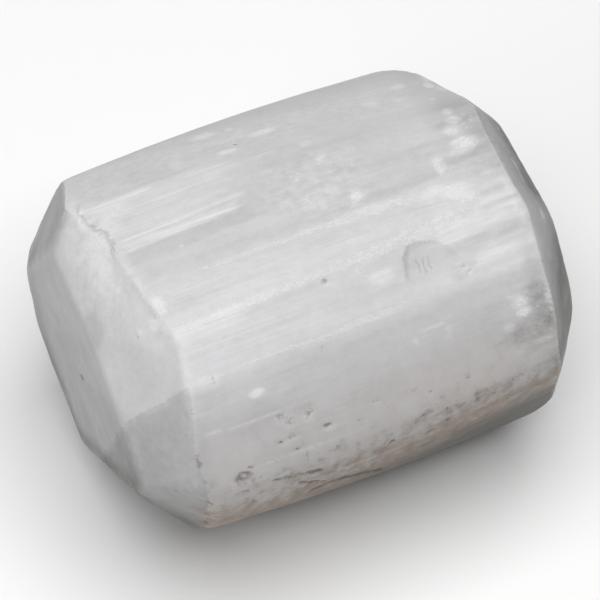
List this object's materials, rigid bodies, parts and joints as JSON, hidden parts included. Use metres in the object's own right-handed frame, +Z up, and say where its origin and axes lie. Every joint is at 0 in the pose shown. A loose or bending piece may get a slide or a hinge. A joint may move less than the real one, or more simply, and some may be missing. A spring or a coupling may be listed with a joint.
{
  "type": "polished selenite stone",
  "caption": "Short, fat barrel of milky fibrous selenite, ground and polished, with bevelled ends and a flat worn face to rest on.",
  "frame": {"origin": "on the surface that the stone rests on, under the middle of its box", "axes": "+X along the stone's length and its fibres, +Z up, -Y towards the long side with the dark pits"},
  "size_m": [0.0348, 0.0296, 0.0259],
  "materials": {
    "milky_selenite": "milky translucent satin spar gypsum with fine fibres along its length, white bruises, dark pits and a soft polish"
  },
  "bodies": {
    "root": {"selenite_stone": "milky_selenite"}
  },
  "joints": []
}
